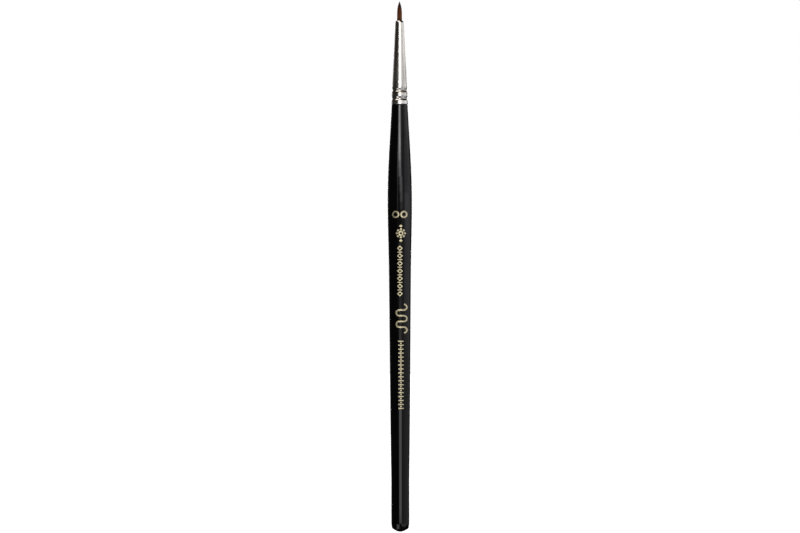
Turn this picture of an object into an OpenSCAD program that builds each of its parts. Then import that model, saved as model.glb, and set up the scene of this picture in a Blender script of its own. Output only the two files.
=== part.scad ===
// Fine detail brush: a round pointed tuft in a crimped metal ferrule, on a turned and lacquered wooden handle.
// Millimetres. +Z runs from the middle of the tail end, at the origin, up the axis to the hair tip.
// The foil marks face -Y.

/* [Overall] */
// Length from the tail end to the hair tip
overall_len = 178; // [170:1:190]
// Length of the hair that stands out of the ferrule
tuft_len = 6.6; // [6:0.1:9]
// Length of the ferrule from its edge on the handle to its mouth
ferrule_len = 28; // [26:0.5:32]

/* [Handle] */
// Diameter of the handle at the ferrule's edge
neck_d = 5.4; // [5.2:0.05:5.45]
// Diameter of the belly, the widest place of the handle
belly_d = 8.25; // [7.5:0.05:9]
// Distance from the ferrule's edge back to the belly
belly_drop = 32.5; // [30:0.5:36]
// Diameter where the belly runs out into the long taper
waist_d = 7.46; // [7:0.02:7.5]
// Distance from the ferrule's edge back to that place
waist_drop = 57.4; // [54:0.2:60]
// Diameter of the straight barrel at the tail
tail_d = 6.1; // [5.6:0.1:6.4]
// Length of the straight barrel
tail_barrel_len = 15; // [10:1:20]
// Height of the rounded tail end below the barrel
tail_end_h = 3.1; // [2.6:0.1:3.6]
// Height of the shallow dome that closes the tail
dome_h = 1.25; // [1.1:0.05:1.5]
// Diameter of the dome's rim
dome_d = 5.5; // [5.2:0.05:5.55]

/* [Paint] */
// Thickness of the gloss lacquer
lacquer_t = 0.15; // [0.1:0.01:0.2]
// Thickness of the filler and primer under it
undercoat_t = 0.1; // [0.06:0.01:0.15]
// Thickness of the foil marks on it
foil_t = 0.04; // [0.03:0.01:0.06]

/* [Ferrule] */
// Outside diameter at the edge on the handle
ferrule_base_d = 5.56; // [5.5:0.02:5.7]
// Outside diameter where the nose starts to roll in
ferrule_nose_d = 2.86; // [2.8:0.02:3]
// Outside diameter of the lip at the mouth
lip_d = 2.12; // [2.1:0.02:2.3]
// Diameter of the mouth
mouth_d = 1.76; // [1.7:0.02:1.8]
// Wall thickness
ferrule_wall = 0.3; // [0.25:0.05:0.3]
// Length of the rolled nose
nose_len = 0.85; // [0.7:0.05:1]
// Distance of the first crimp from the edge on the handle
crimp_1_at = 1.8; // [1.6:0.1:2.4]
// Distance of the second crimp from that edge
crimp_2_at = 4.6; // [4.2:0.1:5.4]
// Depth of the first crimp
crimp_1_deep = 0.22; // [0.12:0.01:0.26]
// Depth of the second crimp
crimp_2_deep = 0.17; // [0.12:0.01:0.26]
// Length of one crimp along the ferrule
crimp_len = 1.5; // [1.2:0.1:1.6]
// Share of that length on the steep side, which faces the handle
crimp_steep = 0.4; // [0.3:0.1:0.5]

/* [Tenon and glue] */
// Length of the handle's tenon inside the ferrule
tenon_len = 13.6; // [10:0.2:15]
// Thickness of the glue film round the tenon
glue_t = 0.08; // [0.05:0.01:0.1]

/* [Hair] */
// Diameter of the free hair where it pivots
tuft_d = 1.68; // [1.6:0.02:1.7]
// How full the tuft stays before it runs to its point
tuft_fullness = 3.2; // [2:0.1:4]
// Height of the bend's pivot above the mouth
pivot_up = 0.86; // [0.86:0.01:0.95]
// Gap between the free hair and the cup that it turns in
bend_gap = 0.04; // [0.03:0.01:0.06]
// Height of that cup's rim above the mouth
cup_rim_up = 0.4; // [0.3:0.05:0.45]
// Length of the hair buried inside the ferrule
root_len = 9.9; // [8:0.1:11]
// Diameter of the buried hair at its fullest
root_d = 2.1; // [2:0.02:2.2]
// Diameter of the buried hair under the thread
tie_d = 1.8; // [1.7:0.02:1.9]
// Height of the tie's middle above the butt
tie_up = 2.2; // [1.8:0.1:2.6]

/* [Thread and resin] */
// Thickness of the binding thread
thread_d = 0.2; // [0.15:0.01:0.22]
// Turns of the binding thread
thread_turns = 4; // [3:1:5]
// Depth of resin behind the butt
resin_under = 0.6; // [0.4:0.1:1]
// Height that the resin climbs round the butt
resin_up = 1.2; // [1:0.1:1.3]

/* [Size mark] */
// Distance of its middle from the ferrule's edge
size_drop = 37; // [36:0.5:38]
// Sideways place of its middle
size_side = 0; // [-0.3:0.05:0.3]
// Outside diameter of one ring
zero_d = 2.4; // [2.2:0.1:2.8]
// Stroke of the rings
zero_stroke = 0.5; // [0.4:0.05:0.7]
// Gap between the rings
zero_gap = 0.35; // [0.1:0.05:0.4]

/* [Rosette mark] */
// Distance of its middle from the ferrule's edge
rosette_drop = 43.3; // [43:0.1:44]
// Sideways place of its middle
rosette_side = 0.35; // [-0.5:0.05:0.5]
// Number of petals
petals = 8; // [6:1:10]
// Radius of the circle of petals
petal_ring_r = 1.35; // [1.3:0.05:1.6]
// Radius of one petal
petal_r = 0.36; // [0.3:0.02:0.4]
// Outside diameter of the ring inside the petals
eye_d = 1.7; // [1.2:0.1:1.7]
// Diameter of that ring's hole
eye_hole_d = 0.75; // [0.5:0.05:0.8]
// Half height over the two end points
rosette_half = 2.95; // [2.8:0.05:3.2]
// Width of one end point
end_point_w = 1.2; // [0.8:0.1:1.6]
// Height of one end point
end_point_h = 1; // [0.6:0.1:1]

/* [Lozenge marks] */
// Distance of the row's middle from the ferrule's edge
lozenge_drop = 55.9; // [55.5:0.1:56.5]
// Sideways place of the row
lozenge_side = 0; // [-0.5:0.05:0.5]
// Number of open lozenges, with a bar between each two
lozenges = 7; // [5:1:8]
// Length of the row
lozenge_row_len = 17; // [15:0.5:18]
// Width of the row
lozenge_w = 2; // [1.8:0.1:2.2]
// Stroke of a lozenge and thickness of a bar
lozenge_stroke = 0.32; // [0.25:0.01:0.36]
// Gap between a lozenge's point and the next bar
lozenge_gap = 0.2; // [0.15:0.05:0.3]
// Width of one bar
tie_bar_w = 1.5; // [1:0.1:1.8]

/* [Wave mark] */
// Distance of its middle from the ferrule's edge
wave_drop = 71.8; // [71:0.1:72.5]
// Sideways place of its middle
wave_side = 0.55; // [-0.6:0.05:0.6]
// Number of bends
wave_bends = 5; // [3:2:7]
// Radius of a bend at the middle of its stroke
wave_r = 0.95; // [0.8:0.05:1]
// Stroke of the wave
wave_stroke = 0.5; // [0.3:0.05:0.6]
// Half width of the straight limbs
wave_half = 0.8; // [0.5:0.05:1]

/* [Dash marks] */
// Distance of the row's middle from the ferrule's edge
bar_drop = 90.6; // [90:0.2:92]
// Sideways place of the row
bar_side = 0.3; // [-0.5:0.05:0.5]
// Number of bars, with a dot between each two
bars = 18; // [12:1:20]
// Length of the row
bar_row_len = 22.8; // [20:0.4:24]
// Width of the row
bar_w = 1.8; // [1.6:0.1:2.2]
// Thickness of one bar
bar_t = 0.38; // [0.3:0.02:0.4]
// Diameter of one dot
dot_d = 0.5; // [0.4:0.05:0.5]

/* [Hidden] */
$fn = 64;

// Heights of the handle's stations
edge_z = overall_len - tuft_len - ferrule_len;
belly_z = edge_z - belly_drop;
waist_z = edge_z - waist_drop;
barrel_top_z = tail_end_h + tail_barrel_len;

// Diameter gained per millimetre of height at those stations
neck_slope = -0.0965;
waist_slope = 0.0175;
barrel_slope = 0.032;

// Straight pieces in each curved stretch of an outline
dome_steps = 8;
shoulder_steps = 5;
taper_steps = 9;
belly_steps = 8;
front_steps = 12;
crimp_steps = 10;
nose_steps = 7;
hair_steps = 16;
root_steps = 5;
// Curve of the tail dome: its height grows with this power of the radius
dome_power = 2;

// Heights inside and on the ferrule
mouth_z = edge_z + ferrule_len;
nose_z = mouth_z - nose_len;
// The inner wall bends in over this length, and the rest of the nose is the straight mouth
throat_len = 0.45;
edge_round = 0.06;
tenon_top_z = edge_z + tenon_len;
pivot_z = mouth_z + pivot_up;
butt_z = mouth_z - root_len;
tie_z = butt_z + tie_up;
// The buried hair clears the mouth and the thread by this much
snug = 0.01;

// Height gained along a cubic from a to b, with end slopes ma and mb over a stretch of length 1
function cubic(u, a, b, ma, mb) =
    a + (b - a) * (3 * u * u - 2 * u * u * u) + ma * (u * u * u - 2 * u * u + u) + mb * (u * u * u - u * u);

// The same between two stations, with slopes per millimetre
function between(z, z0, z1, a, b, ma, mb) =
    cubic((z - z0) / (z1 - z0), a, b, ma * (z1 - z0), mb * (z1 - z0));

// Radius of the lacquered handle above its barrel
function handle_r(z) = (
    z <= waist_z ? between(z, barrel_top_z, waist_z, tail_d, waist_d, barrel_slope, waist_slope)
    : z <= belly_z ? between(z, waist_z, belly_z, waist_d, belly_d, waist_slope, 0)
    : between(z, belly_z, edge_z, belly_d, neck_d, 0, neck_slope)
) / 2;

// Evenly spaced heights after z0, up to and with z1
function steps(z0, z1, n) = [for (i = [1 : n]) z0 + (z1 - z0) * i / n];

// Heights of the stations above the barrel
handle_zs = concat(
    steps(barrel_top_z, waist_z, taper_steps),
    steps(waist_z, belly_z, belly_steps),
    steps(belly_z, edge_z, front_steps)
);

// Outline of the tail's dome and shoulder, sunk below the lacquer's surface by t
function tail_outline(t) = concat(
    [for (i = [0 : dome_steps])
        [(dome_d / 2 - t) * i / dome_steps, t + dome_h * pow(i / dome_steps, dome_power)]],
    [for (i = [1 : shoulder_steps])
        let (u = i / shoulder_steps)
        [
            dome_d / 2 - t + (tail_d - dome_d) / 2 * sin(90 * u),
            dome_h + t + (tail_end_h - dome_h - t) * u
        ]]
);

// Outline of the whole handle up to the ferrule's edge, sunk by t
function handle_outline(t) = concat(
    tail_outline(t),
    [[tail_d / 2 - t, barrel_top_z]],
    [for (z = handle_zs) [handle_r(z) - t, z]]
);

// How far a crimp of this place and depth presses in at height z
function crimp(z, at, deep) =
    let (x = z - edge_z - at)
    let (side = crimp_len * (x < 0 ? crimp_steep : 1 - crimp_steep))
    abs(x) >= side ? 0 : deep * (1 + cos(180 * x / side)) / 2;

// Outside radius of the ferrule below its nose
function cone_r(z) =
    ferrule_base_d / 2 + (ferrule_nose_d - ferrule_base_d) / 2 * (z - edge_z) / (nose_z - edge_z);
function ferrule_r(z) = cone_r(z) - crimp(z, crimp_1_at, crimp_1_deep) - crimp(z, crimp_2_at, crimp_2_deep);
function ferrule_in_r(z) = ferrule_r(z) - ferrule_wall;

// Heights of the stations through the crimps
function crimp_zs(at) = [for (k = [0 : crimp_steps]) edge_z + at + crimp_len * (k / crimp_steps - crimp_steep)];
all_crimp_zs = concat(crimp_zs(crimp_1_at), crimp_zs(crimp_2_at));

// The waist under the thread is a little longer than the windings
thread_pitch = thread_d + snug;
thread_play = 0.1;
thread_span = thread_turns * thread_pitch + thread_play;

// Radius of the buried hair
function root_r(z) = (
    z >= nose_z + throat_len ? mouth_d - 2 * snug
    : z >= nose_z ? between(z, nose_z, nose_z + throat_len, root_d, mouth_d - 2 * snug, 0, 0)
    : z >= tie_z + tie_up ? root_d
    : z >= tie_z + thread_span / 2 ?
        between(z, tie_z + thread_span / 2, tie_z + tie_up, tie_d - 2 * snug, root_d, 0, 0)
    : z >= tie_z - thread_span / 2 ? tie_d - 2 * snug
    : between(z, butt_z, tie_z - thread_span / 2, root_d, tie_d - 2 * snug, 0, 0)
) / 2;

// Heights of the stations of the buried hair
root_zs = concat(
    [butt_z],
    steps(butt_z, tie_z - thread_span / 2, root_steps),
    [tie_z + thread_span / 2],
    steps(tie_z + thread_span / 2, tie_z + tie_up, root_steps),
    steps(tie_z + tie_up, nose_z, 1),
    steps(nose_z, nose_z + throat_len, root_steps)
);

// Radius of the free hair, from 0 at the pivot to 1 at the tip
function tuft_r(u) = tuft_d / 2 * (1 - pow(u, tuft_fullness));

module handle_solid(t) {
    rotate_extrude() polygon(concat(handle_outline(t), [[0, edge_z]]));
}

module handle_wood() {
    t = lacquer_t + undercoat_t;
    tenon = concat(
        [[ferrule_in_r(edge_z) - glue_t, edge_z]],
        [for (z = all_crimp_zs) [ferrule_in_r(z) - glue_t, z]],
        [[ferrule_in_r(tenon_top_z) - glue_t, tenon_top_z]]
    );
    color("burlywood")
    rotate_extrude() polygon(concat(handle_outline(t), tenon, [[0, tenon_top_z]]));
}

module undercoat() {
    color("dimgray")
    difference() {
        handle_solid(lacquer_t);
        handle_solid(lacquer_t + undercoat_t);
    }
}

module black_lacquer() {
    color("black")
    difference() {
        handle_solid(0);
        handle_solid(lacquer_t);
    }
}

module ferrule() {
    base_r = ferrule_base_d / 2;
    outside = concat(
        [[base_r - ferrule_wall, edge_z], [base_r - edge_round, edge_z], [base_r, edge_z + edge_round]],
        [for (z = all_crimp_zs) [ferrule_r(z), z]],
        [for (i = [0 : nose_steps])
            let (a = 90 * i / nose_steps)
            [lip_d / 2 + (ferrule_nose_d - lip_d) / 2 * cos(a), nose_z + nose_len * sin(a)]]
    );
    inside = concat(
        [[mouth_d / 2, mouth_z], [mouth_d / 2, nose_z + throat_len]],
        [[ferrule_in_r(nose_z), nose_z]],
        [for (i = [len(all_crimp_zs) - 1 : -1 : 0]) [ferrule_in_r(all_crimp_zs[i]), all_crimp_zs[i]]]
    );
    color("silver")
    rotate_extrude() polygon(concat(outside, inside));
}

module tenon_glue() {
    zs = concat([edge_z], all_crimp_zs, [tenon_top_z]);
    film = concat(
        [for (z = zs) [ferrule_in_r(z), z]],
        [for (i = [len(zs) - 1 : -1 : 0]) [ferrule_in_r(zs[i]) - glue_t, zs[i]]]
    );
    color("khaki")
    rotate_extrude() polygon(film);
}

module root_solid() {
    top_z = mouth_z + cup_rim_up;
    rotate_extrude() polygon(concat(
        [[0, butt_z]],
        [for (z = root_zs) [root_r(z), z]],
        [[mouth_d / 2 - snug, top_z], [0, top_z]]
    ));
}

module hair_root() {
    color("saddlebrown")
    difference() {
        root_solid();
        translate([0, 0, pivot_z]) sphere(r = tuft_d / 2 + bend_gap);
    }
}

module binding_thread() {
    color("ivory")
    for (i = [0 : thread_turns - 1])
        translate([0, 0, tie_z + thread_pitch * (i - (thread_turns - 1) / 2)])
        rotate_extrude() translate([tie_d / 2 + thread_d / 2, 0]) circle(d = thread_d);
}

module resin_plug() {
    low_z = butt_z - resin_under;
    high_z = butt_z + resin_up;
    color("goldenrod")
    difference() {
        rotate_extrude() polygon([
            [0, low_z], [ferrule_in_r(low_z), low_z], [ferrule_in_r(high_z), high_z], [0, high_z]
        ]);
        root_solid();
    }
}

module tuft() {
    color("sienna")
    translate([0, 0, pivot_z]) {
        sphere(d = tuft_d);
        rotate_extrude() polygon(concat(
            [[0, 0]],
            [for (i = [0 : hair_steps])
                let (u = i / hair_steps)
                [tuft_r(u), u * (overall_len - pivot_z)]]
        ));
    }
}

// A thin skin on the lacquer, as thick as the foil, cut to the flat pattern given and facing -Y
module foil(drop, side) {
    color("wheat")
    intersection() {
        translate([side, 0, edge_z - drop])
            rotate([90, 0, 0]) linear_extrude(height = belly_d) children();
        handle_solid(-foil_t);
        difference() {
            translate([-belly_d, -belly_d, tail_end_h]) cube([2 * belly_d, 2 * belly_d, edge_z]);
            handle_solid(0);
        }
    }
}

module lozenge(w, h) {
    polygon([[-w / 2, 0], [0, -h / 2], [w / 2, 0], [0, h / 2]]);
}

module size_mark() {
    foil(size_drop, size_side)
    for (side = [-1, 1])
        translate([side * (zero_d + zero_gap) / 2, 0])
        difference() {
            circle(d = zero_d);
            circle(d = zero_d - 2 * zero_stroke);
        }
}

module rosette_mark() {
    foil(rosette_drop, rosette_side) {
        for (i = [0 : petals - 1])
            rotate(360 * i / petals) translate([petal_ring_r, 0]) circle(r = petal_r);
        difference() {
            circle(d = eye_d);
            circle(d = eye_hole_d);
        }
        for (side = [-1, 1])
            translate([0, side * (rosette_half - end_point_h / 2)]) lozenge(end_point_w, end_point_h);
    }
}

// A lozenge whose hole leaves a stroke of the same width all round
module open_lozenge(w, h, stroke) {
    half_span = w * h / sqrt(w * w + h * h) / 2;
    left = 1 - stroke / half_span;
    difference() {
        lozenge(w, h);
        lozenge(w * left, h * left);
    }
}

module lozenge_marks() {
    spacer = lozenge_stroke + 2 * lozenge_gap;
    pitch = (lozenge_row_len + spacer) / lozenges;
    foil(lozenge_drop, lozenge_side) {
        for (i = [0 : lozenges - 1])
            translate([0, (i - (lozenges - 1) / 2) * pitch])
            open_lozenge(lozenge_w, pitch - spacer, lozenge_stroke);
        for (i = [1 : lozenges - 1])
            translate([0, (i - lozenges / 2) * pitch]) square([tie_bar_w, lozenge_stroke], center = true);
    }
}

// Half a ring, open to the left for side 1 and to the right for side -1
module wave_bend(side) {
    intersection() {
        difference() {
            circle(r = wave_r + wave_stroke / 2);
            circle(r = wave_r - wave_stroke / 2);
        }
        translate([side * wave_r, 0]) square([2 * wave_r, 4 * wave_r], center = true);
    }
}

module wave_mark() {
    foil(wave_drop, wave_side) {
        for (i = [0 : wave_bends - 1]) {
            side = i % 2 == 0 ? 1 : -1;
            translate([side * wave_half, (i - (wave_bends - 1) / 2) * 2 * wave_r]) wave_bend(side);
        }
        for (i = [1 : wave_bends - 1])
            translate([0, (i - wave_bends / 2) * 2 * wave_r])
            square([2 * wave_half, wave_stroke], center = true);
    }
}

module dash_marks() {
    pitch = (bar_row_len - bar_t) / (bars - 1);
    foil(bar_drop, bar_side) {
        for (i = [0 : bars - 1])
            translate([0, i * pitch - (bar_row_len - bar_t) / 2]) square([bar_w, bar_t], center = true);
        for (i = [0 : bars - 2])
            translate([0, (i + 0.5) * pitch - (bar_row_len - bar_t) / 2]) circle(d = dot_d);
    }
}

handle_wood();
undercoat();
black_lacquer();
ferrule();
tenon_glue();
hair_root();
binding_thread();
resin_plug();
tuft();
size_mark();
rosette_mark();
lozenge_marks();
wave_mark();
dash_marks();
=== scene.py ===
"""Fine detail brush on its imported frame: turned shells, single hairs, wound thread, lights and camera."""
import math

import bmesh
import bpy
import numpy as np
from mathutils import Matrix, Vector


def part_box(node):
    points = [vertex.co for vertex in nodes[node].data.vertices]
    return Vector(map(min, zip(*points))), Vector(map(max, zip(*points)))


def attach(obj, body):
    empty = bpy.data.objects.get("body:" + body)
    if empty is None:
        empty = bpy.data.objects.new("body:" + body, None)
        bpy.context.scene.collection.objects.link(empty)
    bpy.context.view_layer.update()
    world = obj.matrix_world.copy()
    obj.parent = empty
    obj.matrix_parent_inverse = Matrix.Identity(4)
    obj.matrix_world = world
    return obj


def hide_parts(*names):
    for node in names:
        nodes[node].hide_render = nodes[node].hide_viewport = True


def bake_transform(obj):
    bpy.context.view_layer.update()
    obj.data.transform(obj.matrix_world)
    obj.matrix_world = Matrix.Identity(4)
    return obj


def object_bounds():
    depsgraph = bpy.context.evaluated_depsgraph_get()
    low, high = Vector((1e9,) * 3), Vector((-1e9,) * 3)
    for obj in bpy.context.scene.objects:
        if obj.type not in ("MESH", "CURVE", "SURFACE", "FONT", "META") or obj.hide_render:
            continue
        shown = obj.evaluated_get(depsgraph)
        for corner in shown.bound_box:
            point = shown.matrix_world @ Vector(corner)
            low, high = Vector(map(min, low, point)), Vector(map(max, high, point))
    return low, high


MM = 0.001
SEED = 7
TINY = 1e-9  # keeps a division from zero
BRUSH, TUFT = "brush", "tuft"

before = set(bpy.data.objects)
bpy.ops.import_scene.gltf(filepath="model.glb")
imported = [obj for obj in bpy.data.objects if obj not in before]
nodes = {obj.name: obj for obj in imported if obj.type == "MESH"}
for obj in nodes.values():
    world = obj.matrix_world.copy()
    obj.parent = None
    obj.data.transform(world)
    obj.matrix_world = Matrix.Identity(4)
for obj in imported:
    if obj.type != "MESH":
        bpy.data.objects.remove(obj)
cad_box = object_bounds()
middle_z = (cad_box[0].z + cad_box[1].z) / 2
tip_z = cad_box[1].z
edge_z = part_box("ferrule")[0].z
mouth_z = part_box("ferrule")[1].z
rng = np.random.default_rng(SEED)


# ---- Outlines: each turned piece takes its half section from its own CAD node ----

def section(node):
    """The half section of a turned node at x >= 0, as (r, z) points in order, and whether it is closed."""
    near, digits = 2e-7, 7
    bm = bmesh.new()
    bm.from_mesh(nodes[node].data)
    bmesh.ops.remove_doubles(bm, verts=bm.verts, dist=near)
    cut = bmesh.ops.bisect_plane(
        bm, geom=bm.verts[:] + bm.edges[:] + bm.faces[:], dist=near, plane_co=(0, 0, 0), plane_no=(0, 1, 0)
    )["geom_cut"]
    links = {}
    for edge in (g for g in cut if isinstance(g, bmesh.types.BMEdge)):
        a, b = (v.co for v in edge.verts)
        if min(a.x, b.x) < -near or max(a.x, b.x) < 2 * near:
            continue
        key_a, key_b = ((round(p.x, digits), round(p.z, digits)) for p in (a, b))
        links.setdefault(key_a, []).append(key_b)
        links.setdefault(key_b, []).append(key_a)
    bm.free()
    ends = [key for key, beside in links.items() if len(beside) == 1]
    path = [min(ends or links, key=lambda key: (key[1], key[0]))]
    while onward := [key for key in links[path[-1]] if key not in path]:
        path.append(onward[0])
    return path, not ends


def turn_angle(a, b, c):
    """Angle in degrees between the steps a-b and b-c."""
    u, v = np.subtract(b, a), np.subtract(c, b)
    cosine = u @ v / (np.linalg.norm(u) * np.linalg.norm(v) + TINY**2)
    return math.degrees(math.acos(max(-1.0, min(1.0, cosine))))


def between(a, b, a_at, b_at, at):
    """The point in line with a and b that belongs to the value at, where a has a_at and b has b_at."""
    return a * (b_at - at) / (b_at - a_at) + b * (at - a_at) / (b_at - a_at)


def spline(points, fine):
    """A centripetal Catmull-Rom curve through the points, with fine steps between each two."""
    p = [np.array(q, float) for q in points]
    if len(p) < 3:
        return p
    p = [2 * p[0] - p[1], *p, 2 * p[-1] - p[-2]]
    out = [p[1]]
    for a, b, c, d in zip(p, p[1:], p[2:], p[3:]):
        gaps = [math.sqrt(np.linalg.norm(y - x)) + TINY for x, y in ((a, b), (b, c), (c, d))]
        t = np.cumsum([0, *gaps])
        for k in range(1, fine + 1):
            s = t[1] + (t[2] - t[1]) * k / fine
            ab = between(a, b, t[0], t[1], s)
            bc = between(b, c, t[1], t[2], s)
            cd = between(c, d, t[2], t[3], s)
            abc = between(ab, bc, t[0], t[2], s)
            bcd = between(bc, cd, t[1], t[3], s)
            out.append(between(abc, bcd, t[1], t[2], s))
    return out


def round_edge(before, corner, after):
    """Five points of a small curve that cuts off the corner between its two neighbours."""
    edge_r, most = 0.03 * MM, 0.4  # length of the cut, and its largest share of a side
    sides = [before - corner, after - corner]
    lengths = [np.linalg.norm(side) for side in sides]
    back = min(edge_r, most * lengths[0], most * lengths[1])
    start, end = (corner + side / length * back for side, length in zip(sides, lengths))
    return [(1 - s) ** 2 * start + 2 * s * (1 - s) * corner + s * s * end for s in (0, 0.25, 0.5, 0.75, 1)]


def rounded(path, closed, fine):
    """The outline with its curved runs splined and its corners cut back to small round edges."""
    corner_angle = 24
    n = len(path)

    def at(i):
        return path[i % n] if closed else path[i]

    inner = range(n) if closed else range(1, n - 1)
    corners = [i for i in inner if turn_angle(at(i - 1), at(i), at(i + 1)) > corner_angle]
    marks = [*corners, corners[0] + n] if closed else [0, *corners, n - 1]
    runs = [spline([at(i) for i in range(a, b + 1)], fine) for a, b in zip(marks, marks[1:])]
    out = []
    for k, run in enumerate(runs):
        starts_open, ends_open = (not closed and k == end for end in (0, len(runs) - 1))
        out += [run[0]] if starts_open else round_edge(runs[k - 1][-2], run[0], run[1])
        out += run[1:] if ends_open else run[1:-1]
    return out


# ---- Mesh helpers ----

def mesh_object(name, verts, faces, node_names, body, slot_name, mat):
    """A smooth mesh object that stands for the CAD nodes named, with the material given. The slot named is
    not used.
    """
    mesh = bpy.data.meshes.new(name)
    mesh.from_pydata([tuple(v) for v in verts], [], [tuple(f) for f in faces])
    mesh.validate()
    mesh.polygons.foreach_set("use_smooth", [True] * len(mesh.polygons))
    mesh.materials.append(mat)
    obj = bpy.data.objects.new(name, mesh)
    bpy.context.scene.collection.objects.link(obj)
    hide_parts(*node_names)
    if body:
        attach(obj, body)
    return obj


def point_values(obj, name, values):
    """Stores one number per vertex for the material to read."""
    stored = obj.data.attributes.new(name, "FLOAT", "POINT")
    stored.data.foreach_set("value", np.asarray(values, np.float32))


def turned(name, node, slot_name, mat, sides=96, fine=3):
    """A piece turned about Z from its node's outline. Its points on the axis become single poles."""
    on_axis = 1e-6
    path, closed = section(node)
    verts, rings = [], []
    for r, z in rounded(path, closed, fine):
        if r < on_axis:
            rings.append([len(verts)])
            verts.append((0, 0, z))
            continue
        rings.append(range(len(verts), len(verts) + sides))
        verts += [(r * math.cos(a), r * math.sin(a), z) for a in np.arange(sides) * math.tau / sides]
    if closed:
        rings.append(rings[0])
    faces = []
    for low, high in zip(rings, rings[1:]):
        for i in range(sides):
            j = (i + 1) % sides
            quad = [low[i % len(low)], low[j % len(low)], high[j % len(high)], high[i % len(high)]]
            faces.append(list(dict.fromkeys(quad)))
    obj = mesh_object(name, verts, [f for f in faces if len(f) > 2], [node], BRUSH, slot_name, mat)
    bm = bmesh.new()
    bm.from_mesh(obj.data)
    bmesh.ops.recalc_face_normals(bm, faces=bm.faces)
    bm.to_mesh(obj.data)
    bm.free()
    return obj


def tube(points, radii, sides):
    """Vertices and faces of one closed tube along the points, with a flat cap at both ends."""
    p = np.asarray(points, float)
    along = np.gradient(p, axis=0)
    along /= np.linalg.norm(along, axis=1)[:, None]
    guide = np.array([1.0, 0, 0])  # no tube starts along X
    verts = []
    for q, t, r in zip(p, along, radii):
        guide = guide - t * (guide @ t)
        guide /= np.linalg.norm(guide)
        other = np.cross(t, guide)
        for a in np.arange(sides) * math.tau / sides:
            verts.append(q + r * (math.cos(a) * guide + math.sin(a) * other))
    faces = []
    for k in range(len(p) - 1):
        for i in range(sides):
            j = (i + 1) % sides
            faces.append((k * sides + i, k * sides + j, (k + 1) * sides + j, (k + 1) * sides + i))
    faces.append(tuple(reversed(range(sides))))
    faces.append(tuple(range((len(p) - 1) * sides, len(p) * sides)))
    return verts, faces


def joined(tubes):
    """Vertices and faces of several tubes as those of one mesh."""
    verts, faces = [], []
    for tube_verts, tube_faces in tubes:
        faces += [[k + len(verts) for k in face] for face in tube_faces]
        verts += tube_verts
    return verts, faces


# ---- Material helpers ----

def material(name, color, metallic=0.0, roughness=0.5, **sockets):
    """A principled material. Uniform values are set straight on the shader."""
    mat = bpy.data.materials.new(name)
    mat.use_nodes = True
    shader = mat.node_tree.nodes["Principled BSDF"]
    shader.inputs["Base Color"].default_value = (*color, 1)
    shader.inputs["Metallic"].default_value = metallic
    shader.inputs["Roughness"].default_value = roughness
    for key, value in sockets.items():
        shader.inputs[key.replace("_", " ")].default_value = value
    return mat


def wire(mat, kind, **inputs):
    """Adds a shader node. A key names one of its settings or inputs, or is i and an input's number. A value
    is plain or another node's output socket."""
    made = mat.node_tree.nodes.new(kind)
    for key, value in inputs.items():
        linked = isinstance(value, bpy.types.NodeSocket)
        if hasattr(made, key) and not linked:
            setattr(made, key, value)
            continue
        numbered = key[0] == "i" and key[1:].isdigit()
        socket = made.inputs[int(key[1:]) if numbered else key.replace("_", " ")]
        if linked:
            mat.node_tree.links.new(value, socket)
        else:
            socket.default_value = value
    return made


def to_shader(mat, **inputs):
    """Links output sockets to the inputs of the material's shader."""
    shader = mat.node_tree.nodes["Principled BSDF"]
    for key, value in inputs.items():
        mat.node_tree.links.new(value, shader.inputs[key.replace("_", " ")])


def object_place(mat):
    """The place of the point shaded, in the object's own frame."""
    return wire(mat, "ShaderNodeTexCoord").outputs["Object"]


def noise(mat, size, stretch=(1, 1, 1), detail=3.0, rough=0.55):
    """Noise from 0 to 1 with lumps of about the given size in metres, stretched along each axis."""
    per_metre = [1 / (size * s) for s in stretch]
    scaled = wire(mat, "ShaderNodeVectorMath", operation="MULTIPLY", i0=object_place(mat), i1=per_metre)
    settings = {"Scale": 1.0, "Detail": detail, "Roughness": rough}
    return wire(mat, "ShaderNodeTexNoise", Vector=scaled.outputs[0], **settings).outputs["Fac"]


def ramp(mat, fac, *stops):
    """Colours or greys along the factor; each stop is (place, colour or grey)."""
    made = wire(mat, "ShaderNodeValToRGB", Fac=fac)
    elements = made.color_ramp.elements
    while len(elements) < len(stops):
        elements.new(0.5)
    for element, (place, value) in zip(elements, stops):
        element.position = place
        element.color = (*value, 1) if isinstance(value, tuple) else (value, value, value, 1)
    return made.outputs["Color"]


def blend_colors(mat, fac, a, b, how="MIX"):
    """Colour a turned into colour b by the factor. Each is a plain value or an output socket."""
    made = wire(mat, "ShaderNodeMix", data_type="RGBA", blend_type=how)
    for index, value in ((0, fac), (6, a), (7, b)):
        if isinstance(value, bpy.types.NodeSocket):
            mat.node_tree.links.new(value, made.inputs[index])
        else:
            made.inputs[index].default_value = value if index == 0 else (*value, 1)
    return made.outputs[2]


def bump(mat, height, depth):
    """Gives the surface a relief of the depth in metres."""
    made = wire(mat, "ShaderNodeBump", Height=height, Distance=depth, Strength=1.0)
    to_shader(mat, Normal=made.outputs["Normal"])


def attribute(mat, name):
    """The number stored per vertex under this name."""
    return wire(mat, "ShaderNodeAttribute", attribute_name=name).outputs["Fac"]


# ---- Materials ----

def lacquer_material():
    """Gloss black lacquer with faint waves and smudges."""
    mat = material("gloss_black_lacquer", (0.0014, 0.0013, 0.0015), roughness=0.08)
    smudge = noise(mat, 6 * MM, (1, 1, 2.5), detail=4)
    tone = noise(mat, 14 * MM)
    black = ramp(mat, tone, (0.3, (0.0009, 0.0009, 0.0011)), (0.75, (0.0021, 0.0019, 0.002)))
    to_shader(mat, Base_Color=black, Roughness=ramp(mat, smudge, (0.35, 0.06), (0.7, 0.13)))
    bump(mat, noise(mat, 2.2 * MM, (1, 1, 3), detail=2), 0.0016 * MM)
    return mat


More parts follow.
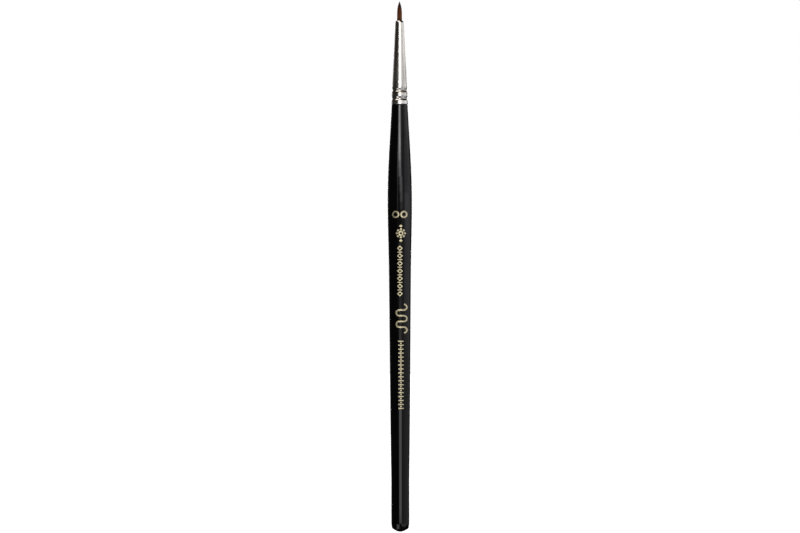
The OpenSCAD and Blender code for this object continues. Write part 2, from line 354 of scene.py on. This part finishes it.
def nickel_material():
    """Brushed nickel plate, darkened by painted shade and grime stored per vertex in the crimps and under
    the lip, brighter by rubbed and duller by worked.
    """
    mat = material("nickel_plate", (0.78, 0.745, 0.7), 1.0, 0.2)
    lines = noise(mat, 0.1 * MM, (1, 1, 80))
    cloud = noise(mat, 2.2 * MM, (1, 1, 2.5), detail=4)
    clouded = ramp(mat, cloud, (0.3, 0.15), (0.75, 0.24))
    brushed = ramp(mat, lines, (0.3, 0.14), (0.8, 0.3))
    rough = blend_colors(mat, 0.4, clouded, brushed)
    to_shader(mat, Roughness=blend_colors(mat, attribute(mat, "worked"), rough, (0.4, 0.4, 0.4)))
    plate = ramp(mat, cloud, (0.25, (0.74, 0.7, 0.645)), (0.8, (0.81, 0.785, 0.75)))
    # Painted shade and grime: the crimps' steep sides and the mouth's lip turn a dull brown.
    shade_and_tarnish = ramp(mat, attribute(mat, "groove_shade"), (0.2, 0.0), (1.0, 0.95))
    rubbed = blend_colors(mat, attribute(mat, "rubbed"), plate, (0.97, 0.95, 0.92))
    to_shader(mat, Base_Color=blend_colors(mat, shade_and_tarnish, rubbed, (0.36, 0.32, 0.275)))
    bump(mat, lines, 0.0005 * MM)
    return mat


def hair_material():
    """Reddish brown hair that darkens towards the tip, with its own tone in each hair."""
    mat = material("brown_hair", (0.07, 0.02, 0.006), roughness=0.5, Specular_IOR_Level=0.2)
    body = ramp(
        mat, attribute(mat, "along"),
        (0.0, (0.08, 0.031, 0.011)), (0.12, (0.165, 0.052, 0.012)), (0.45, (0.143, 0.035, 0.005)),
        (0.72, (0.054, 0.012, 0.002)), (1.0, (0.015, 0.006, 0.002)),
    )
    tone = ramp(
        mat, attribute(mat, "tone"),
        (0.0, (0.55, 0.5, 0.5)), (0.6, (1.0, 1.0, 1.0)), (1.0, (1.6, 1.7, 1.8)),
    )
    gloss = noise(mat, 0.12 * MM, (1, 1, 6))
    to_shader(mat, Base_Color=blend_colors(mat, 1.0, body, tone, "MULTIPLY"))
    to_shader(mat, Roughness=ramp(mat, gloss, (0.3, 0.34), (0.7, 0.52)))
    return mat


def foil_material():
    """Pale gold foil, worn thin in small spots."""
    mat = material("pale_gold_foil", (0.83, 0.735, 0.465), 0.85, 0.36)
    worn = noise(mat, 0.35 * MM, detail=5, rough=0.7)
    gold = ramp(
        mat, worn,
        (0.28, (0.37, 0.31, 0.17)), (0.42, (0.83, 0.735, 0.465)), (0.8, (0.97, 0.89, 0.62)),
    )
    to_shader(mat, Base_Color=gold, Roughness=ramp(mat, worn, (0.3, 0.46), (0.7, 0.32)))
    bump(mat, noise(mat, 0.12 * MM), 0.002 * MM)
    return mat


def wood_material():
    """Pale turned wood with rings and fine grain along the handle."""
    mat = material("turned_birch", (0.68, 0.48, 0.28), roughness=0.6)
    grain = noise(mat, 0.5 * MM, (1, 1, 30), detail=5, rough=0.6)
    rings = noise(mat, 2.6 * MM, (1, 0.35, 14), detail=2)
    tone = blend_colors(
        mat, 0.45,
        ramp(mat, rings, (0.3, (0.74, 0.55, 0.34)), (0.55, (0.6, 0.4, 0.22)), (0.7, (0.76, 0.58, 0.37))),
        ramp(mat, grain, (0.3, (0.5, 0.31, 0.16)), (0.6, (0.8, 0.62, 0.4))),
    )
    to_shader(mat, Base_Color=tone, Roughness=ramp(mat, grain, (0.2, 0.72), (0.8, 0.5)))
    bump(mat, grain, 0.02 * MM)
    return mat


def undercoat_material():
    """Dull grey filler, speckled and a little cloudy."""
    mat = material("grey_filler", (0.12, 0.12, 0.125), roughness=0.8)
    speck = noise(mat, 0.25 * MM, detail=5, rough=0.7)
    cloud = noise(mat, 5 * MM)
    tone = blend_colors(
        mat, 0.5,
        ramp(mat, speck, (0.3, 0.08), (0.7, 0.16)),
        ramp(mat, cloud, (0.3, 0.1), (0.7, 0.15)),
    )
    to_shader(mat, Base_Color=tone, Roughness=ramp(mat, speck, (0.2, 0.88), (0.8, 0.7)))
    bump(mat, speck, 0.006 * MM)
    return mat


def amber_material(name, thin, thick, size):
    """Set glue or resin: amber, glossy, with cloudy patches of the given size and small bubbles."""
    mat = material(name, thick, roughness=0.15, Transmission_Weight=0.35, IOR=1.5)
    cloud = noise(mat, size, detail=4)
    cells = wire(mat, "ShaderNodeTexVoronoi", Vector=object_place(mat), Scale=3 / size)
    bubbles = ramp(mat, cells.outputs["Distance"], (0.0, 1.0), (0.16, 0.0))
    tone = ramp(mat, cloud, (0.3, thick), (0.75, thin))
    bright = tuple(min(1, 1.3 * c) for c in thin)
    to_shader(mat, Base_Color=blend_colors(mat, bubbles, tone, bright))
    to_shader(mat, Roughness=ramp(mat, cloud, (0.3, 0.1), (0.7, 0.28)))
    bump(mat, bubbles, -0.01 * MM)
    return mat


def thread_material():
    """Waxed off-white thread with fine fibres."""
    mat = material("waxed_thread", (0.78, 0.72, 0.6), roughness=0.75, Sheen_Weight=0.3)
    fibre = noise(mat, 0.03 * MM, detail=4)
    cloud = noise(mat, 0.4 * MM)
    tone = blend_colors(
        mat, 0.5,
        ramp(mat, fibre, (0.3, (0.6, 0.54, 0.42)), (0.7, (0.86, 0.81, 0.7))),
        ramp(mat, cloud, (0.3, (0.68, 0.6, 0.46)), (0.7, (0.84, 0.79, 0.68))),
    )
    to_shader(mat, Base_Color=tone, Roughness=ramp(mat, fibre, (0.3, 0.82), (0.7, 0.62)))
    bump(mat, fibre, 0.006 * MM)
    return mat


# ---- Pieces ----

def crimp_shade_and_grime(obj, r, z):
    """Share of painted shade and grime per vertex: in the steep sides of both crimps, and a little below the
    upper one's.
    """
    nose_z, nose_span = mouth_z - 1 * MM, 0.5 * MM
    lowest, middle, highest = edge_z + 1 * MM, edge_z + 3.4 * MM, edge_z + 6 * MM
    crimp_depth, run_down = 0.28 * MM, 0.38 * MM
    plain, steep = 0.06, 0.32  # upward part of the normal on the cone and on a steep side
    base_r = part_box("ferrule")[1].x
    nose_r = r[np.abs(z - nose_z) < nose_span].max()
    cone_r = base_r + (nose_r - base_r) * (z - edge_z) / (nose_z - edge_z)
    in_crimps = (z > lowest) & (z < highest) & (r > cone_r - crimp_depth)
    facing_up = np.array([v.normal.z for v in obj.data.vertices])
    # Painted shade with some grime: the upward steep sides of the crimps are darkened.
    shade_and_grime = np.where(in_crimps, np.interp(facing_up, (plain, steep), (0, 1)), 0)
    for level in np.unique(z[in_crimps & (z > middle)]):
        just_above = in_crimps & (z >= level) & (z < level + run_down)
        shade_and_grime[in_crimps & (z == level)] = shade_and_grime[just_above].max()
    return shade_and_grime


def make_ferrule():
    """The ferrule, with its painted shade and grime, rubbed edge at the handle and duller stretch stored per
    vertex.
    """
    obj = turned("ferrule_shell", "ferrule", "nickel", nickel_material(), sides=128)
    places = np.array([v.co for v in obj.data.vertices])
    r, z = np.hypot(places[:, 0], places[:, 1]), places[:, 2]
    # Painted shade under the mouth's lip, which dims its glint.
    lip_shade = np.interp(mouth_z - z, (0.16 * MM, 0.56 * MM), (0.6, 0))
    rubbed = np.interp(z - edge_z, (0.8 * MM, 1.3 * MM), (1, 0))
    worked = np.interp(z - edge_z, (5.5 * MM, 9 * MM, 18 * MM), (0, 0.42, 0))
    point_values(obj, "groove_shade", np.maximum(crimp_shade_and_grime(obj, r, z), lip_shade))
    point_values(obj, "rubbed", rubbed)
    point_values(obj, "worked", worked)


def hair_profile():
    """Outer (r, z) of the whole bundle from butt to tip, lowest first, without the joint's cup and ball."""
    cup_r, ball_top = 0.5 * MM, mouth_z + 0.9 * MM
    root = [p for p in section("hair_root")[0] if p[0] > cup_r and p[1] < mouth_z]
    widest = {z: r for r, z in sorted(root)}
    free = [p for p in section("tuft")[0] if p[1] > ball_top]
    outline = [(r, z) for z, r in widest.items()] + free
    return np.array(spline(sorted(outline, key=lambda p: p[1]), fine=3))


def make_hair():
    """Every hair is one tapered tube from the butt to its own tip. The tips lie on the tuft's surface."""
    hairs, sides, rings = 380, 5, 32
    golden_angle, turn_noise = math.pi * (3 - math.sqrt(5)), 0.03
    packing = 0.62  # share of the thickest section that is hair
    butt_gap, buried_share = 0.05 * MM, 0.35
    core_hairs, short_share, short_noise = 4, 0.24, 0.035  # shares of the free length
    tip_share, taper_power = 0.12, 8
    sway_noise, sway_waves = 0.04, 5
    locks, lock_pull = 7, 0.05

    outline = hair_profile()
    butt_z = outline[0, 1] + butt_gap
    free_len = tip_z - mouth_z
    hair_r = outline[:, 0].max() * math.sqrt(packing / hairs)
    u = np.linspace(0, 1, rings)
    tubes, along, tones = [], [], []
    for i in range(hairs):
        rho = math.sqrt((i + 0.5) / hairs)
        angle = i * golden_angle + rng.normal(0, turn_noise)
        short = short_share * rho**2 + short_noise * rng.random() * (i >= core_hairs)
        end_z = tip_z - free_len * short
        phase = rng.random() * math.tau
        sway = rng.normal(0, sway_noise)
        tone = rng.random()
        z = np.interp(u, (0, buried_share, 1), (butt_z, mouth_z, end_z))
        free = np.clip((z - mouth_z) / (end_z - mouth_z), 0, 1)
        thin = hair_r * (tip_share + (1 - tip_share) * (1 - free**taper_power))
        # Near the tip only hairs nearer the axis than this are left, and they spread to fill the outline.
        left_rho = np.minimum(1, np.sqrt(np.clip((tip_z - z) / (short_share * free_len), 1e-4, None)))
        r = (np.interp(z, outline[:, 1], outline[:, 0]) - thin) * np.minimum(1, rho / left_rho)
        swing = angle + sway * np.sin(free * sway_waves + phase) + lock_pull * free * math.sin(locks * angle)
        path = np.column_stack([r * np.cos(swing), r * np.sin(swing), z])
        tubes.append(tube(path, thin, sides))
        along += list(np.repeat(np.clip((z - mouth_z) / free_len, 0, 1), sides))
        tones += [tone] * rings * sides
    verts, faces = joined(tubes)
    obj = mesh_object("hair_bundle", verts, faces, ["tuft", "hair_root"], None, "hair", hair_material())
    point_values(obj, "along", along)
    point_values(obj, "tone", tones)
    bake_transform(obj)


def make_thread():
    """Two plies twisted round each other, wound round the waist of the buried hair."""
    waist_r, turns, steps = 0.9 * MM, 4, 48
    twists, snug, sides = 9, 0.95, 8
    low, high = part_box("binding_thread")
    ply_r = (high.x - waist_r) / 4  # two plies side by side are four radii across
    middle_r = (waist_r + high.x) / 2
    t = np.linspace(0, 1, turns * steps + 1)
    angle = t * turns * math.tau
    height = low.z + 2 * ply_r + (high.z - low.z - 4 * ply_r) * t
    plies = []
    for start in (0, math.pi):
        twist = angle * twists + start
        r = middle_r + snug * ply_r * np.cos(twist)
        z = height + snug * ply_r * np.sin(twist)
        path = np.column_stack([r * np.cos(angle), r * np.sin(angle), z])
        plies.append(tube(path, np.full(len(t), ply_r), sides))
    mesh_object("binding_twine", *joined(plies), ["binding_thread"], BRUSH, "thread", thread_material())


def dress_foil():
    """The foil marks keep their CAD shapes and get the foil's material."""
    foil = foil_material()
    for name in ("size_mark", "rosette_mark", "lozenge_marks", "wave_mark", "dash_marks"):
        for slot in nodes[name].material_slots:
            slot.material = foil


# ---- Studio: angles are in degrees, and azimuths count to the right from the camera ----

def softbox(name, azimuth, elevation, radiance, color=(1, 1, 1)):
    """A soft light that the brush's middle sees over a span of azimuths and a span of elevations."""
    distance = 1.45
    a, e = (math.radians(sum(span) / 2) for span in (azimuth, elevation))
    away = Vector((math.sin(a) * math.cos(e), -math.cos(a) * math.cos(e), math.sin(e)))
    light = bpy.data.lights.new(name, "AREA")
    light.shape = "RECTANGLE"
    light.size, light.size_y = (
        2 * distance * math.tan(math.radians(high - low) / 2) for low, high in (azimuth, elevation)
    )
    light.energy = radiance * math.pi * light.size * light.size_y
    light.color = color
    obj = bpy.data.objects.new(name, light)
    obj.location = Vector((0, 0, middle_z)) + away * distance
    obj.rotation_mode = "QUATERNION"
    obj.rotation_quaternion = away.to_track_quat("Z", "Y")
    obj.visible_camera = False
    bpy.context.scene.collection.objects.link(obj)


def key_lights():
    """The main light: seven bands over the camera, each with a fainter, wider one, and a ghost at left."""
    core_half, core_share = 9.5, 0.85
    edge_half, edge_share = 17, 0.25
    bands = (  # lowest and highest elevation, middle azimuth, radiance
        (1.5, 4.5, 14, 1.25), (4.5, 7, 10.5, 1.85), (7, 9, 2, 2.7), (9, 10, -1, 5.4),
        (10, 10.9, -1, 8.4), (10.9, 12.4, -1, 6.8), (12.4, 33, 9, 2.5),
    )
    for k, (low, high, azimuth, radiance) in enumerate(bands):
        core, edge = ((azimuth - wide, azimuth + wide) for wide in (core_half, edge_half))
        softbox(f"key_{k}", core, (low, high), core_share * radiance)
        softbox(f"key_edge_{k}", edge, (low, high), edge_share * radiance)
    softbox("key_ghost", (-26, -14), (0, 6.2), 0.35)
    softbox("key_ghost_top", (-26, -14), (6.2, 10), 0.75)


def left_lights():
    """High lights at left for the crimps' steep sides, a strip below the key, and low lights at left for the
    crimps' other sides and for the glint on the tail."""
    softbox("upper_left", (-56, -3), (40, 68), 2.8)
    softbox("upper_far_left", (-115, -53), (46, 68), 0.35)
    softbox("low_strip", (-14, 18), (-9.9, -4.3), 0.9)
    softbox("low_strip_end", (-10, 16), (-9.9, -2.2), 0.7)
    softbox("lower_left", (-46, -14), (-34, -15), 1.1)
    softbox("tail_glint", (-46, -20), (-60, -34), 1.3)
    softbox("lower_far_left", (-125, -46), (-60, -34), 0.14)


def right_lights():
    """Dim cool cards for the handle's grey right side, the crimps and the tail, and a row of brighter cards
    above them for the ferrule."""
    cool = (0.93, 0.93, 1.0)
    softbox("side_under", (8, 95), (-60, -46), 0.2, cool)
    softbox("side_low", (16, 76), (-29, -14), 0.6, cool)
    softbox("side_gap", (18, 46), (-14, 12), 0.22, cool)
    softbox("side_card", (46, 126), (-18, 12), 0.3, cool)
    softbox("side_middle", (46, 110), (-3, 10.2), 0.22, cool)
    softbox("side_band", (46, 92), (-0.8, 4), 0.33, cool)
    first, width, top, glow_top, glow = 22, 33, 21, 12.6, 0.75
    for k, (low, radiance) in enumerate(((12.4, 0.95), (10.8, 0.42), (9.4, 0.42))):
        azimuths = (first + width * k, first + width * (k + 1))
        softbox(f"side_top_{k}", azimuths, (low, top), radiance)
        softbox(f"side_glow_{k}", azimuths, (low, glow_top), glow)
    softbox("ferrule_fill", (18, 40), (11.8, 24), 0.8)


def back_lights():
    """A rim light on each side, and a bright strip and a dim card behind."""
    softbox("rim_left", (-155, -118), (8, 24), 0.3)
    softbox("rim_right", (121, 155), (8, 24), 0.7)
    softbox("back_strip", (169, 191), (-30, 35), 4.0)
    softbox("back_card", (160, 215), (-35, 40), 0.35)


def make_world():
    """White to the camera, a dim grey room to everything else."""
    world = bpy.data.worlds.new("studio")
    world.use_nodes = True
    tree = world.node_tree
    tree.nodes.clear()
    room, backdrop = (tree.nodes.new("ShaderNodeBackground") for _ in range(2))
    room.inputs["Color"].default_value = (0.022, 0.02, 0.018, 1)
    backdrop.inputs["Color"].default_value = (1, 1, 1, 1)
    mix = tree.nodes.new("ShaderNodeMixShader")
    tree.links.new(tree.nodes.new("ShaderNodeLightPath").outputs["Is Camera Ray"], mix.inputs[0])
    tree.links.new(room.outputs[0], mix.inputs[1])
    tree.links.new(backdrop.outputs[0], mix.inputs[2])
    tree.links.new(mix.outputs[0], tree.nodes.new("ShaderNodeOutputWorld").inputs[0])
    bpy.context.scene.world = world


def make_floor():
    """A plain white disc under the tail, bright enough to run into the backdrop."""
    radius, sides, low = 4, 96, -0.02 * MM
    glow = {"Emission_Color": (1, 1, 1, 1), "Emission_Strength": 1.0}
    mat = material("white_floor", (0.12, 0.12, 0.12), roughness=0.9, **glow)
    bpy.ops.mesh.primitive_circle_add(vertices=sides, radius=radius, fill_type="NGON", location=(0, 0, low))
    floor = bpy.context.object
    floor.name = "floor"
    floor.data.materials.append(mat)
    floor.visible_glossy = False
    floor.visible_diffuse = False
    floor.visible_transmission = False
    floor.visible_shadow = False


def make_camera():
    """Level with the brush's middle, far off with a long lens. The brush fills the picture's height."""
    distance, frame_width, sensor_mm = 1.0, 0.2682, 36
    lean, aside = 0.0016, 0.035 * MM
    data = bpy.data.cameras.new("camera")
    data.sensor_width = sensor_mm
    data.lens = sensor_mm * distance / frame_width
    camera = bpy.data.objects.new("camera", data)
    camera.location = (aside, -distance, middle_z)
    camera.rotation_euler = (math.pi / 2, lean, 0)
    bpy.context.scene.collection.objects.link(camera)
    bpy.context.scene.camera = camera


make_camera()
make_world()
key_lights()
left_lights()
right_lights()
back_lights()
make_floor()
bpy.context.scene.view_settings.view_transform = "Standard"

turned("lacquer_coat", "black_lacquer", "lacquer", lacquer_material())
turned("filler_coat", "undercoat", "undercoat", undercoat_material(), fine=2)
turned("wood_core", "handle_wood", "wood", wood_material(), fine=2)
make_ferrule()
set_glue = amber_material("set_glue", (0.8, 0.7, 0.45), (0.55, 0.4, 0.16), 0.8 * MM)
set_resin = amber_material("set_resin", (0.75, 0.45, 0.14), (0.4, 0.17, 0.04), 1.2 * MM)
turned("glue_film", "tenon_glue", "glue", set_glue, fine=2)
turned("resin_fill", "resin_plug", "resin", set_resin)
make_hair()
make_thread()
dress_foil()
